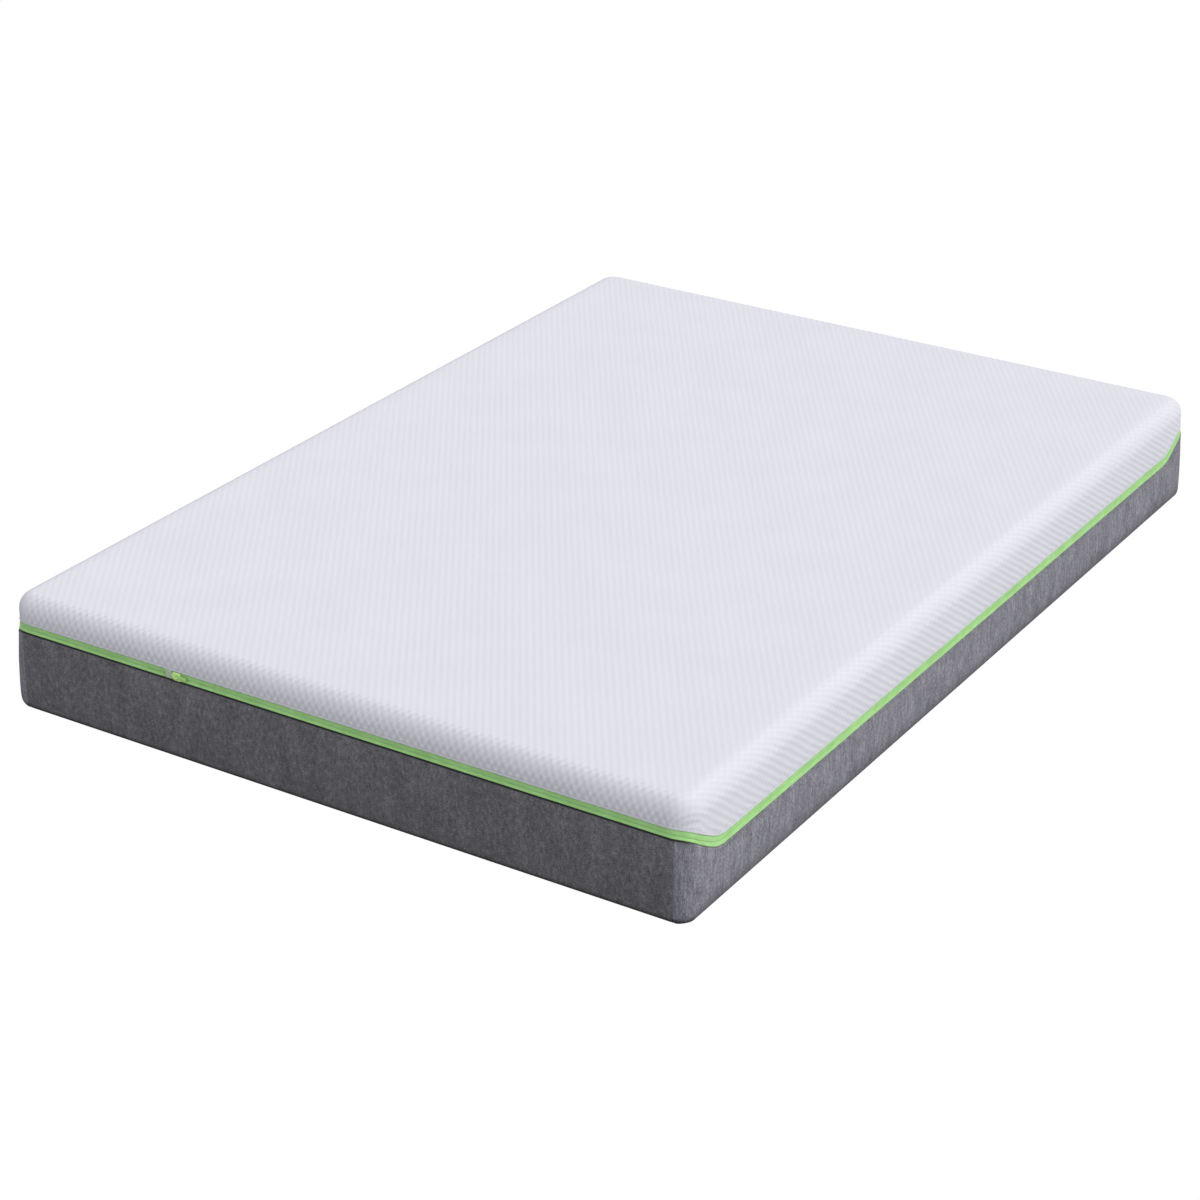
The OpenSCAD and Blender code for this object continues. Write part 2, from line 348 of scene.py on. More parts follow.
class Look:
    """A material's node tree, built by short calls. An input is a socket or a number."""

    def __init__(self, name):
        self.mat = bpy.data.materials.new(name)
        self.mat.use_nodes = True
        self.tree = self.mat.node_tree
        self.shader = next(n for n in self.tree.nodes if n.type == "BSDF_PRINCIPLED")

    def node(self, kind, inputs=(), **settings):
        """A node with its inputs by name or number, and its own settings."""
        n = self.tree.nodes.new(kind)
        for k, v in settings.items():
            setattr(n, k, v)
        for k, v in dict(inputs).items():
            self.join(v, n.inputs[k])
        return n

    def join(self, value, socket):
        if isinstance(value, bpy.types.NodeSocket):
            self.tree.links.new(value, socket)
        elif value is not None:
            socket.default_value = value

    def math(self, op, a, b=None, c=None, clamp=False):
        ins = {i: v for i, v in enumerate((a, b, c)) if v is not None}
        return self.node("ShaderNodeMath", ins, operation=op, use_clamp=clamp).outputs[0]

    def mul(self, a, b):
        return self.math("MULTIPLY", a, b)

    def add(self, a, b):
        return self.math("ADD", a, b)

    def vec(self, op, a, b):
        n = self.node("ShaderNodeVectorMath", {0: a, 1: b}, operation=op)
        return n.outputs["Value" if op == "DOT_PRODUCT" else "Vector"]

    def sheet(self):
        """Place in the flat cloth, in metres."""
        return self.node("ShaderNodeAttribute", attribute_name="sheet").outputs["Vector"]

    def value(self, name):
        """A number that set_value has put at each point."""
        return self.node("ShaderNodeAttribute", attribute_name=name).outputs["Fac"]

    def split(self, vector):
        return self.node("ShaderNodeSeparateXYZ", {0: vector}).outputs

    def ripple(self, value, pitch):
        """A sine along a value in metres."""
        return self.math("SINE", self.mul(value, 2 * math.pi / pitch))

    def local(self):
        return self.node("ShaderNodeTexCoord").outputs["Object"]

    def noise(self, vector, scale, detail=2.0, rough=0.5, squeeze=None):
        """Noise 0 to 1. squeeze is its scale in x, y and z."""
        if squeeze:
            vector = self.vec("MULTIPLY", vector, squeeze)
        ins = {"Vector": vector, "Scale": scale, "Detail": detail, "Roughness": rough}
        return self.node("ShaderNodeTexNoise", ins).outputs["Fac"]

    def cells(self, vector, scale):
        ins = {"Vector": vector, "Scale": scale}
        return self.node("ShaderNodeTexVoronoi", ins, feature="F1").outputs["Distance"]

    def fit(self, value, low, high, to_low=0.0, to_high=1.0, smooth=True):
        """A value's range low to high brought to another range."""
        ins = {0: value, 1: low, 2: high, 3: to_low, 4: to_high}
        kind = "SMOOTHSTEP" if smooth else "LINEAR"
        return self.node("ShaderNodeMapRange", ins, interpolation_type=kind).outputs[0]

    def join_colour(self, colour, socket):
        self.join(colour if isinstance(colour, bpy.types.NodeSocket) else (*colour, 1), socket)

    def mix(self, share, a, b):
        """Colour a at share 0 and colour b at share 1."""
        n = self.node("ShaderNodeMix", data_type="RGBA")
        self.join(share, n.inputs[0])
        self.join_colour(a, n.inputs[6])
        self.join_colour(b, n.inputs[7])
        return n.outputs[2]

    def bump(self, height, distance, strength=1.0, normal=None):
        ins = {"Height": height, "Distance": distance, "Strength": strength}
        n = self.node("ShaderNodeBump", ins)
        if normal is not None:
            self.join(normal, n.inputs["Normal"])
        return n.outputs[0]

    def done(self, colour, rough, normal=None, **values):
        """The finished material. values are constants on the shader's own sockets."""
        self.join_colour(colour, self.shader.inputs["Base Color"])
        self.join(rough, self.shader.inputs["Roughness"])
        if normal is not None:
            self.join(normal, self.shader.inputs["Normal"])
        for k, v in values.items():
            self.shader.inputs[k.replace("_", " ")].default_value = v
        return self.mat


DIAMOND_X, DIAMOND_Y = 14.5 * MM, 21.6 * MM
KNIT_RELIEF = 0.55 * MM


def knit_look():
    """A jacquard knit: two crossing sets of ribs make diamonds, one stronger on top, one on the walls."""
    k = Look("knit_fabric")
    flat = k.sheet()
    wander = k.mul(k.add(k.noise(flat, 30, 2), -0.5), 1.6)
    wave_x, wave_y = 2 * math.pi / DIAMOND_X, 2 * math.pi / DIAMOND_Y
    rising = k.math("COSINE", k.add(k.vec("DOT_PRODUCT", flat, (wave_x, wave_y, 0)), wander))
    falling = k.math("COSINE", k.add(k.vec("DOT_PRODUCT", flat, (wave_x, -wave_y, 0)), wander))
    wall = k.split(flat)["Z"]
    rising = k.mul(rising, k.fit(wall, 0.0, 1.0, 1.0, 0.55))
    falling = k.mul(falling, k.fit(wall, 0.0, 1.0, 0.25, 1.0))
    height = k.mul(k.add(rising, falling), k.value("relief"))
    height = k.mul(height, k.fit(wall, 0.0, 1.0, 0.19, 0.70))
    loops_x = k.math("SINE", k.vec("DOT_PRODUCT", flat, (2 * math.pi / (1.5 * MM), 0, 0)))
    loops_y = k.math("SINE", k.vec("DOT_PRODUCT", flat, (0, 2 * math.pi / (1.1 * MM), 0)))
    mottle = k.fit(k.noise(flat, 8, 3), 0.3, 0.7)
    # Painted shade: the grooves between the ribs are coloured darker than the crowns, following the relief's
    # height
    groove_painted_shade = k.mix(mottle, (0.560, 0.560, 0.615), (0.572, 0.572, 0.627))
    crown = k.mix(mottle, (0.672, 0.672, 0.732), (0.684, 0.684, 0.744))
    colour = k.mix(k.fit(height, -1.3, 1.3), groove_painted_shade, crown)
    # Painted shade on the rolled top edge: the colour there is drawn towards the groove colour
    colour = k.mix(k.mul(k.value("edge"), 0.62), colour, groove_painted_shade)
    normal = k.bump(height, KNIT_RELIEF)
    normal = k.bump(k.mul(loops_x, loops_y), 0.12 * MM, 0.4, normal)
    gloss = {"Sheen_Weight": 0.10, "Sheen_Roughness": 0.5, "Specular_IOR_Level": 0.2}
    return k.done(colour, 0.85, normal, **gloss)


def melange_look(name, dark, mid, light, tall):
    """Heather cloth: upright flecks of light and dark yarn over soft streaks. tall stretches them."""
    k = Look(name)
    flat = k.sheet()
    wide = k.noise(flat, 1, 2, squeeze=(34, 10, 0))
    streak = k.noise(flat, 1, 3, 0.6, squeeze=(150, 150 / tall, 0))
    fleck = k.noise(flat, 1, 2, 0.7, squeeze=(480, 720 / tall, 0))
    thread = k.noise(flat, 1, 1, 0.5, squeeze=(1600, 500, 0))
    value = k.add(k.mul(k.add(wide, -0.5), 0.55), k.mul(k.add(streak, -0.5), 1.15))
    value = k.add(value, k.mul(k.add(fleck, -0.5), 1.7))
    value = k.add(value, k.mul(k.add(thread, -0.5), 0.5))
    share = k.fit(value, -0.55, 0.55, smooth=False)
    lower = k.mix(k.math("MULTIPLY", share, 2.0, clamp=True), dark, mid)
    colour = k.mix(k.fit(share, 0.5, 1.0, smooth=False), lower, light)
    # Painted shade: where the strips' painted-shade value is high, the colour is drawn towards half the dark
    # yarn's colour
    colour = k.mix(k.value("seam"), colour, tuple(0.5 * c for c in dark))
    normal = k.bump(fleck, 0.5 * MM, 0.6)
    normal = k.bump(k.noise(flat, 1, 1, squeeze=(1100, 700, 0)), 0.35 * MM, 0.6, normal)
    gloss = {"Sheen_Weight": 0.08, "Sheen_Roughness": 0.6, "Specular_IOR_Level": 0.15}
    return k.done(colour, 0.95, normal, **gloss)


def tape_look():
    """Green twill tape: slanting ribs crossed by rows."""
    k = Look("zip_tape")
    flat = k.sheet()
    at = k.split(flat)
    twill = k.ripple(k.add(at["X"], k.mul(at["Y"], 0.6)), 1.3 * MM)
    rows = k.ripple(at["Y"], 1.6 * MM)
    worn = k.noise(flat, 1, 2, squeeze=(40, 90, 0))
    fine = k.noise(flat, 900, 2)
    tone = k.add(k.mul(worn, 0.6), k.mul(fine, 0.4))
    colour = k.mix(k.fit(tone, 0.3, 0.7), (0.285, 0.565, 0.178), (0.370, 0.690, 0.255))
    normal = k.bump(k.add(twill, k.mul(rows, 0.8)), 0.12 * MM, 0.7)
    gloss = {"Sheen_Weight": 0.25, "Sheen_Roughness": 0.4, "Specular_IOR_Level": 0.4}
    return k.done(colour, 0.62, normal, **gloss)


def plain_cloth(name, low, high, pitch, relief):
    """A plain weave with uneven tone."""
    k = Look(name)
    flat = k.sheet()
    at = k.split(flat)
    tone = k.noise(flat, 300, 4, 0.7)
    colour = k.mix(k.fit(tone, 0.3, 0.7), low, high)
    normal = k.bump(k.mul(k.ripple(at["X"], pitch), k.ripple(at["Y"], pitch)), relief, 0.8)
    return k.done(colour, 0.9, normal, Sheen_Weight=0.1, Specular_IOR_Level=0.2)


def wadding_look(name, low, high):
    """Fibre filling: soft lumps with fine hair."""
    k = Look(name)
    at = k.local()
    fluff = k.noise(at, 90, 6, 0.65)
    hair = k.noise(at, 700, 3, 0.8)
    colour = k.mix(k.fit(fluff, 0.3, 0.7), low, high)
    normal = k.bump(fluff, 4 * MM, 0.7)
    normal = k.bump(hair, 0.7 * MM, 0.6, normal)
    gloss = {"Sheen_Weight": 0.35, "Sheen_Roughness": 0.6, "Specular_IOR_Level": 0.1}
    return k.done(colour, 1.0, normal, **gloss)


def foam_look(name, low, high, cell, depth, rough=0.9):
    """Open-cell foam: cells of a size in metres, with a few larger pores whose dents are painted darker as
    shade.
    """
    k = Look(name)
    at = k.local()
    pores = k.cells(at, 1 / cell)
    big = k.fit(k.cells(at, 0.22 / cell), 0.0, 0.22)
    cloud = k.noise(at, 14, 4, 0.6)
    tone = k.add(k.mul(cloud, 0.7), k.mul(pores, 0.5))
    colour = k.mix(k.fit(tone, 0.3, 0.85), low, high)
    # Painted shade: the larger pores are coloured darker where they dent in
    colour = k.mix(big, tuple(c * 0.72 for c in low), colour)
    normal = k.bump(k.mul(pores, -1.0), depth, 0.8)
    normal = k.bump(big, 0.8 * MM, 0.5, normal)
    normal = k.bump(cloud, 2.0 * MM, 0.4, normal)
    return k.done(colour, rough, normal, Specular_IOR_Level=0.2, Sheen_Weight=0.08)


def moulded_look(name, low, high, rough, coat=0.0):
    """Moulded plastic or lacquered metal, slightly worn."""
    k = Look(name)
    at = k.local()
    grain = k.noise(at, 1800, 3)
    wear = k.noise(at, 160, 4, 0.7)
    colour = k.mix(k.fit(wear, 0.3, 0.7), low, high)
    scuff = k.fit(wear, 0.35, 0.75, rough - 0.08, rough + 0.12)
    normal = k.bump(grain, 0.05 * MM, 0.5)
    return k.done(colour, scuff, normal, Coat_Weight=coat, Coat_Roughness=0.2)


def thread_look(name, low, high):
    """Twisted sewing thread."""
    k = Look(name)
    at = k.local()
    twist = k.noise(at, 2500, 2)
    colour = k.mix(twist, low, high)
    return k.done(colour, 0.6, k.bump(twist, 0.1 * MM, 0.6), Sheen_Weight=0.2)


LOOKS = {
    "knit": knit_look(),
    "border_end": melange_look(
        "border_fabric_end", (0.042, 0.041, 0.047), (0.116, 0.114, 0.128), (0.246, 0.240, 0.268), 1.9
    ),
    "border_side": melange_look(
        "border_fabric_side", (0.064, 0.063, 0.074), (0.182, 0.180, 0.210), (0.362, 0.358, 0.410), 4.0
    ),
    "tape": tape_look(),
    "panel": plain_cloth(
        "panel_fabric", (0.050, 0.050, 0.056), (0.095, 0.095, 0.105), 3.2 * MM, 0.35 * MM
    ),
    "patch": plain_cloth(
        "patch_fabric", (0.385, 0.490, 0.345), (0.500, 0.635, 0.450), 1.4 * MM, 0.2 * MM
    ),
    "padding": wadding_look("padding", (0.70, 0.70, 0.68), (0.82, 0.82, 0.80)),
    "wadding": wadding_look("wadding", (0.74, 0.74, 0.73), (0.86, 0.86, 0.85)),
    "coil": moulded_look("zip_coil", (0.145, 0.440, 0.095), (0.190, 0.520, 0.130), 0.35),
    "slider": moulded_look("slider", (0.520, 0.800, 0.270), (0.600, 0.870, 0.330), 0.28, 0.5),
    "pull": moulded_look("pull", (0.350, 0.640, 0.180), (0.420, 0.720, 0.230), 0.28, 0.5),
    "support_foam": foam_look(
        "support_foam", (0.560, 0.680, 0.790), (0.680, 0.780, 0.870), 2.6 * MM, 0.7 * MM
    ),
    "transition_foam": foam_look(
        "transition_foam", (0.560, 0.740, 0.530), (0.690, 0.830, 0.650), 2.0 * MM, 0.6 * MM
    ),
    "memory_foam": foam_look(
        "memory_foam", (0.830, 0.780, 0.610), (0.910, 0.870, 0.730), 1.4 * MM, 0.35 * MM, 0.8
    ),
    "thread_white": thread_look("thread_white", (0.62, 0.62, 0.67), (0.74, 0.74, 0.78)),
    "thread_grey": thread_look("thread_grey", (0.10, 0.10, 0.11), (0.20, 0.20, 0.22)),
}


def dress(o, look, body, nodes=()):
    """Gives a piece its material and body, and hides the CAD nodes it stands for."""
    o.data.materials.clear()
    o.data.materials.append(LOOKS[look])
    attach(o, body)
    if nodes:
        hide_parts(*nodes)


# ---- knit top

KNIT_STEP = 13 * MM
HEM_TOP = 15 * MM
WALL_ROWS, ROLL_ROWS = 6, 8
# Depth and height over the zip line of the hem, which is folded in under the knit's lower edge
HEM = np.array([
    (2.7, 18.5), (2.7, 12.5), (2.6, 9.5), (2.2, 8.4), (1.4, 8.0), (0.6, 8.4),
    (0.25, 9.5), (0.75, 11.1), (0.35, 12.7),
]) * MM

knit_fx, knit_fy = shares(CORNER_X, KNIT_STEP), shares(CORNER_Y, KNIT_STEP)
knit_st = all_round(knit_fx, knit_fy)
zips = zip_z(knit_st)
shoulder = HEIGHT - EDGE_R
wall_z = (zips + HEM_TOP) + (shoulder - zips - HEM_TOP) * np.linspace(0, 1, WALL_ROWS)[None, :]
roll = np.radians(np.linspace(0, 90, ROLL_ROWS + 1))[1:]
top_r = float(outline(HEIGHT)[2])
one = np.ones((len(knit_st), 1))
knit_d = np.concatenate([
    one * HEM[:, 0], 0 * wall_z, one * (EDGE_R * (1 - np.cos(roll))), one * top_r,
], 1)
knit_z = np.concatenate([
    zips + HEM[:, 1], wall_z, one * (shoulder + EDGE_R * np.sin(roll)), one * HEIGHT,
], 1)
# The flat cloth: its distance out from the corners' centres, and how far it is on the wall
step = np.hypot(np.diff(knit_d, axis=1), np.diff(knit_z, axis=1))
out = np.concatenate([np.cumsum(step[:, ::-1], 1)[:, ::-1], 0 * one], 1)
angle = np.radians(knit_st[:, 2])[:, None]
top_x, top_y = HALF_W - top_r, HALF_L - TOP_TAPER - top_r
knit_sheet = np.stack([
    knit_st[:, 0][:, None] * top_x + np.cos(angle) * out,
    knit_st[:, 1][:, None] * top_y + np.sin(angle) * out,
    np.clip((out - 0.006) / 0.026, 0, 1),
], -1)
knit = skin(
    "knit_top_panel_soft", knit_st, knit_d, knit_z, closed=True,
    lids=[(-1, knit_fx, knit_fy)], sheet=knit_sheet,
)
# The ribs are weaker round the corners and on the long sides, and the rolled top edge gets painted shade
co = coords(knit)
past_corner = np.minimum(np.abs(co[:, 0]) - top_x, np.abs(co[:, 1]) - top_y)
rounded = np.clip(past_corner / (8 * MM), 0, 1)
long_side = np.clip((np.abs(co[:, 0]) - HALF_W + 0.05) / 0.03, 0, 1) * (1 - rounded)
set_value(knit, "relief", (1 - 0.5 * rounded) * (1 - 0.44 * long_side))
# Share of painted shade round the rolled top edge, most about 13 mm below the top
set_value(knit, "edge", np.sin(math.pi * np.clip((HEIGHT - co[:, 2]) / 0.026, 0, 1)))

# ---- borders

BORDER_T = 2.9 * MM
# Depth and height over the border's top line, from the wall up and into the zip
BORDER_TOP = np.array([
    (0.05, -14.6), (0.10, -12.6), (0.55, -11.2), (1.4, -10.4), (2.35, -10.0), (2.45, -9.1), (2.65, -8.6),
]) * MM
TURN_ROWS, BORDER_ROWS = 7, 9
OUTER_ROWS = TURN_ROWS + BORDER_ROWS


def border_profile(st):
    """Depth and height of a border strip: turned under, up the wall, in at the zip and down inside."""
    z0 = zip_z(st)
    z0 = z0 - tuck(z0)
    turn = np.radians(np.linspace(0, 90, TURN_ROWS))
    r = turn_r(st)
    rows = [(r * (1 - math.sin(a)), r * (1 - math.cos(a))) for a in turn]
    top = z0 - 17 * MM
    rows += [(0 * z0, r + (top - r) * share) for share in np.linspace(0, 1, BORDER_ROWS + 1)[1:]]
    rows += [(0 * z0 + d, z0 + z) for d, z in BORDER_TOP]
    inner_top = z0 - 9.2 * MM
    rows += [(0 * z0 + BORDER_T, inner_top + (r - inner_top) * share) for share in np.linspace(0, 1, 6)]
    inner_r = r - BORDER_T
    rows += [(r - inner_r * math.sin(a), r - inner_r * math.cos(a)) for a in turn[::-1][1::2]]
    return [np.concatenate(column, 1) for column in zip(*rows)]


BORDER_STEP = 13 * MM
FINE = (1.2 * MM, 2.6 * MM, 5 * MM)
LAP = 1 - 1.2 * MM / CORNER_X
end_x = shares(CORNER_X, BORDER_STEP, fine=FINE)
long_y = shares(CORNER_Y, BORDER_STEP)


def strip_turn(k):
    """Stations round a corner with some more close to its start and end."""
    made = corner(k, CORNER_STEPS)
    x, y, start = made[0]
    for f in FINE[:2]:
        near = math.degrees(f / CORNER_R)
        made += [(x, y, start + near), (x, y, start + 90 - near)]
    return sorted(made, key=lambda station: station[2])


def wrap(k):
    """Stations of the border strip along side k, which laps a little over the strips at both its ends."""
    start, end = strip_turn(k - 1), strip_turn(k)
    first, last = start[0], end[-1]
    return chain(
        [(first[0] * LAP, *first[1:])], start, side(k, long_y), end, [(last[0] * LAP, *last[1:])]
    )


STRIPS = {
    "front": (chain(side(0, end_x)), "border_end"),
    "back": (chain(side(2, end_x)), "border_end"),
    "right": (wrap(1), "border_side"),
    "left": (wrap(3), "border_side"),
}
borders = {}
for name, (st, look) in STRIPS.items():
    # Each strip sinks in at its ends, where it is sewn to the next
    d, z = border_profile(st)
    s = lengths(st)
    from_end = np.minimum(s, s[-1] - s)[:, None]
    outer = np.arange(d.shape[1])[None, :] < OUTER_ROWS
    fade = np.clip((0.135 - z) / 0.06, 0.3, 1)
    d = d + outer * fade * 1.3 * MM * np.exp(-((from_end / (2.2 * MM)) ** 2))
    o = skin(f"{name}_border_soft", st, d, z, ring=True, ends=True, placed=place_strip)
    # Painted shade in the cloth: in the fold under the zip, at the turn under the mattress, and darker low on
    # the long sides
    co = coords(o)
    zip_at = zip_height(co[:, 0], co[:, 1])
    over = co[:, 2] - zip_at + tuck(zip_at)
    side_share = 1 - np.clip((np.abs(co[:, 1]) - HALF_L + 0.03) / 0.02, 0, 1)
    turn_at = turn_radius(co[:, 0], co[:, 1])
    zip_painted_shade = np.clip((over + 12.0 * MM) / (1.2 * MM), 0, 1) * (1 - 0.88 * side_share)
    turn_painted_shade = np.clip((0.81 * turn_at - co[:, 2]) / (0.155 * turn_at), 0, 1)
    low_painted_shade = 0.62 * side_share * np.clip((0.046 - co[:, 2]) / 0.038, 0, 1) ** 1.4
    # Each point's share of painted shade, which the border material reads
    set_value(o, "seam", np.maximum(np.maximum(zip_painted_shade, turn_painted_shade), low_painted_shade))
    borders[name] = o

# ---- cloth simulation


SINK = 0.7 * MM
FRAMES = 20


def inflate(jobs):
    """Runs Cloth on each (object, pins, pressure, cap), makes it real and caps how far a point moved."""
    before = {}
    for o, pins, pressure, _ in jobs:
        before[o.name] = coords(o)
        group = o.vertex_groups.new(name="pin")
        for w in np.unique(pins):
            if w > 0:
                group.add(np.nonzero(pins == w)[0].tolist(), float(w), "REPLACE")
        m = o.modifiers.new("cloth", "CLOTH")
        s = m.settings
        s.vertex_group_mass = "pin"
        s.quality = 6
        s.mass = 0.05
        s.tension_stiffness = s.compression_stiffness = 25
        s.shear_stiffness = 12
        s.bending_stiffness = 1.5
        s.use_pressure = True
        s.uniform_pressure_force = pressure
        s.effector_weights.gravity = 0
        m.collision_settings.use_collision = False
        m.point_cache.frame_start, m.point_cache.frame_end = 1, FRAMES
    for f in range(1, FRAMES + 1):
        scene.frame_set(f)
    dg = bpy.context.evaluated_depsgraph_get()
    moved = {}
    for o, _, _, cap in jobs:
        e = o.evaluated_get(dg)
        shift = vectors(e.to_mesh().vertices, "co") - before[o.name]
        e.to_mesh_clear()
        normal = vectors(o.data.vertices, "normal")
        rise = (shift * normal).sum(1, keepdims=True)
        slip = shift - rise * normal
        rise = np.where(rise > 0, cap * np.tanh(rise / cap), SINK * np.tanh(rise / SINK))
        far = np.linalg.norm(slip, axis=1, keepdims=True)
        slip *= SINK * np.tanh(far / SINK) / np.maximum(far, 1e-9)
        moved[o.name] = before[o.name] + rise * normal + slip
    for o, *_ in jobs:
        o.modifiers.remove(o.modifiers["cloth"])
        o.vertex_groups.clear()
        set_coords(o, moved[o.name])
    scene.frame_set(1)


def behind_outside(co):
    """How far points lie behind the mattress's largest width and length."""
    return np.minimum(HALF_W - np.abs(co[:, 0]), HALF_L - np.abs(co[:, 1]))


co = coords(knit)
held = np.clip((behind_outside(co) - 0.04) / 0.20, 0, 1)
held = np.round(0.25 + 0.75 * held * held * (3 - 2 * held), 2)
pins = np.where(co[:, 2] < zip_height(co[:, 0], co[:, 1]) + 14 * MM, 1.0, held)
jobs = [(knit, pins, 1.2, (2.2 - 1.7 * rounded[:, None]) * MM)]
for name, o in borders.items():
    co = coords(o)
    zip_at = zip_height(co[:, 0], co[:, 1])
    pins = (co[:, 2] < 14 * MM) | (co[:, 2] > zip_at - tuck(zip_at) - 12 * MM)
    pins |= behind_outside(co) > 2.2 * MM
    if name in ("front", "back"):
        pins |= np.abs(co[:, 0]) > SEAM_X - 6 * MM
    else:
        pins |= np.abs(co[:, 0]) < SEAM_X + 6 * MM
    jobs.append((o, pins.astype(float), 3.0, 2.0 * MM))
inflate(jobs)

for o in (knit, *borders.values()):
    subdivide(o)

dress(knit, "knit", "top_cover", ["knit_top_panel"])
for name, o in borders.items():
    dress(o, STRIPS[name][1], "base_cover", [f"{name}_border"])

# ---- bottom panel

PANEL_STEP = 26 * MM
PANEL_LID_DEPTH = 30 * MM

panel_fx, panel_fy = shares(CORNER_X, PANEL_STEP), shares(CORNER_Y, PANEL_STEP)
panel_st = all_round(panel_fx, panel_fy)
rim = turn_r(panel_st) + 0.4 * MM
inner = 0 * rim + PANEL_LID_DEPTH
panel_d = np.concatenate([inner, rim + 3 * MM, rim + 0.9 * MM, rim, rim, rim + 2.6 * MM, inner], 1)
panel_z = np.array([0.25, 0.35, 0.9, 1.4, 2.3, 2.8, 2.8]) * MM
panel = skin(
    "bottom_panel_soft", panel_st, panel_d, panel_z, closed=True,
    lids=[(-1, panel_fx, panel_fy), (0, panel_fx, panel_fy)],
)
subdivide(panel)
dress(panel, "panel", "base_cover", ["bottom_panel"])

# ---- zip


def tape(name, rows, body, node):
    """A zip tape as a folded band. rows are depth and height over the zip line, in mm."""
    st = zip_round(14 * MM, 10 * MM, CORNER_STEPS, 8 * MM)
    z0 = zip_z(st)
    rows = np.array(rows) * MM
    # The lower tape's face reaches down with the border's top line
    lower = tuck(z0) * np.clip((-rows[:, 1] - 1.5 * MM) / (3.5 * MM), 0, 1) * (rows[:, 1] > -12 * MM)
    z = z0 + rows[:, 1] - lower
    o = skin(name, st, rows[:, 0], z, ring=True, ends=True)
    subdivide(o)
    dress(o, "tape", body, [node])


UPPER_ROWS = [
    (3.95, 18), (3.95, 9), (3.90, 2.0), (3.2, 0.4), (2.75, -1.2), (2.35, -1.9), (1.85, -1.8), (1.60, -0.8),
    (1.55, 1.5), (1.65, 4.4), (2.1, 6.9), (3.05, 9.2), (3.05, 18),
]
LOWER_ROWS = [
    (3.05, -18), (3.05, -8.8), (2.75, -8.2), (1.9, -8.0), (1.0, -7.8), (0.5, -7.2), (0.6, -6.5),
    (1.2, -5.0), (1.9, -3.4), (2.6, -2.0), (3.2, -1.1), (3.7, -1.2), (3.95, -2.2), (3.95, -9), (3.95, -18),
]
tape("upper_zip_tape_soft", UPPER_ROWS[::-1], "top_cover", "upper_zip_tape")
tape("lower_zip_tape_soft", LOWER_ROWS, "base_cover", "lower_zip_tape")


COIL_DEPTH = 5.12 * MM


def coil(name, sign, body, node):
    """A zip coil as one ribbed run: two stations a tooth, the first full and the second slim."""
    pitch = 2.6 * MM
    st = zip_round(pitch / 2, pitch / 2, 24, 16 * MM)
    full = (np.arange(len(st)) % 2 == 0)[:, None]
    turn = np.radians(np.arange(6) * 60.0)[None, :]
    d = COIL_DEPTH - np.cos(turn) * np.where(full, 1.08, 0.62) * MM
    z = zip_z(st) + sign * (ZIP_GAP + 1.5 * MM) + np.sin(turn) * (np.where(full, 1.40, 0.85) * MM)
    o = skin(name, st, d, z, ring=True, ends=True)
    dress(o, "coil", body, [node])


coil("upper_zip_coil_ribbed", 1, "top_cover", "upper_zip_coil")
coil("lower_zip_coil_ribbed", -1, "base_cover", "lower_zip_coil")


def rounded_block(name, low, high, bevel):
    bm = bmesh.new()
    bmesh.ops.create_cube(bm, size=1)
    for v in bm.verts:
        v.co = [(l + h) / 2 + c * (h - l) for l, h, c in zip(low, high, v.co)]
    bmesh.ops.bevel(bm, geom=list(bm.edges), offset=bevel, segments=3, profile=0.6, affect="EDGES")
    me = bpy.data.meshes.new(name)
    bm.to_mesh(me)
    bm.free()
    smooth_shading(me)
    return add_object(name, me)


def join(name, parts):
    """One mesh object of several, kept as separate shells."""
    bm = bmesh.new()
    for o in parts:
        bm.from_mesh(o.data)
    me = bpy.data.meshes.new(name)
    bm.to_mesh(me)
    bm.free()
    for o in parts:
        bpy.data.objects.remove(o, do_unlink=True)
    smooth_shading(me)
    return add_object(name, me)


for which, body in (("lower", "base_cover"), ("upper", "top_cover")):
    lo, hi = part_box(f"{which}_coil_stops")
    blocks = []
    for x0, x1 in ((lo.x, lo.x + 4 * MM), (hi.x - 4 * MM, hi.x)):
        blocks.append(rounded_block("stop", (x0, lo.y, lo.z), (x1, hi.y, hi.z), 0.6 * MM))
    stops = join(f"{which}_coil_stops_rounded", blocks)
    dress(stops, "coil", body, [f"{which}_coil_stops"])

# Patch over the zip's two ends: woven tape with its rim pressed down
PATCH_NX, PATCH_NZ = 13, 11
patch_lo, patch_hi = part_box("zip_end_patch")
gx, gz = np.meshgrid(np.linspace(-1, 1, PATCH_NX), np.linspace(-1, 1, PATCH_NZ))
press = np.clip((np.maximum(np.abs(gx), np.abs(gz)) - 0.72) / 0.28, 0, 1) ** 2
px = (patch_lo.x + patch_hi.x) / 2 + gx * (patch_hi.x - patch_lo.x) / 2
pz = (patch_lo.z + patch_hi.z) / 2 + gz * ((patch_hi.z - patch_lo.z) / 2 + 0.7 * MM)
front = patch_lo.y + press * 1.2 * MM + 0.12 * MM * waves(px, pz, 0.006, 3)
back = np.full(px.shape, patch_hi.y)
points = np.concatenate([np.stack([px, y, pz], -1).reshape(-1, 3) for y in (front, back)])
faces = []
half = gx.size
for a in range(PATCH_NZ - 1):
    for b in range(PATCH_NX - 1):
        q = a * PATCH_NX + b
        square = (q, q + 1, q + PATCH_NX + 1, q + PATCH_NX)
        faces += [square, tuple(half + i for i in (square[0], square[3], square[2], square[1]))]
ids = np.arange(half).reshape(PATCH_NZ, PATCH_NX)
rim_ids = [int(i) for i in (*ids[0], *ids[1:, -1], *ids[-1, -2::-1], *ids[-2:0:-1, 0])]
